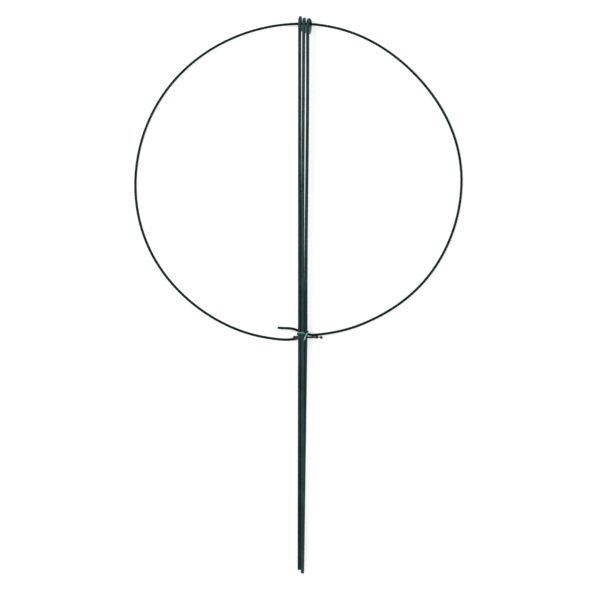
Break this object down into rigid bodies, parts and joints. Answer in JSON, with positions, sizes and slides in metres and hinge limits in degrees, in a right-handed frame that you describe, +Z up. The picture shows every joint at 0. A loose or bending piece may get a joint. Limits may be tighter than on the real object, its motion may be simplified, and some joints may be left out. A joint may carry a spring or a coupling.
{
  "type": "plant support",
  "caption": "Wire plant support, folded flat: a springy plastic-coated ring with its legs hung on it by rolled eyes and bundled by a twist tie.",
  "frame": {"origin": "on the surface that the folded support lies on, midway under it", "axes": "+X to the right and +Y from the leg tips towards the eyes in the picture, +Z up towards its camera"},
  "size_m": [0.4106, 0.6968, 0.0204],
  "materials": {
    "ring_coating": "semi-gloss dark green PVC",
    "leg_coating": "satin grey-green PVC",
    "tie_plastic": "glossy green strip",
    "steel_wire": "drawn and galvanised"
  },
  "bodies": {
    "ring": {"ring_coat": "ring_coating", "ring_core": "steel_wire"},
    "leg_left": {"leg_left_coat": "leg_coating", "leg_left_core": "steel_wire"},
    "leg_middle": {"leg_middle_coat": "leg_coating", "leg_middle_core": "steel_wire"},
    "leg_right": {"leg_right_coat": "leg_coating", "leg_right_core": "steel_wire"},
    "tie": {"tie_strip": "tie_plastic", "tie_wire": "steel_wire"}
  },
  "joints": [
    {"name": "leg_left_fold", "type": "hinge", "parent": "ring", "child": "leg_left", "pos_m": [0.00154, 0.33817, 0.0102], "axis": [-1, 0, 0], "range_deg": [0, 180]},
    {"name": "leg_middle_fold", "type": "hinge", "parent": "ring", "child": "leg_middle", "pos_m": [0.00649, 0.33613, 0.0102], "axis": [-1, 0, 0], "range_deg": [0, 180]},
    {"name": "leg_right_fold", "type": "hinge", "parent": "ring", "child": "leg_right", "pos_m": [0.01144, 0.33548, 0.0102], "axis": [-1, 0, 0], "range_deg": [0, 180]},
    {"name": "tie_lift_off", "type": "slide", "parent": "ring", "child": "tie", "axis": [0, 0, 1], "range_m": [0, 0.08], "deforming": ["tie_strip", "tie_wire"]}
  ]
}
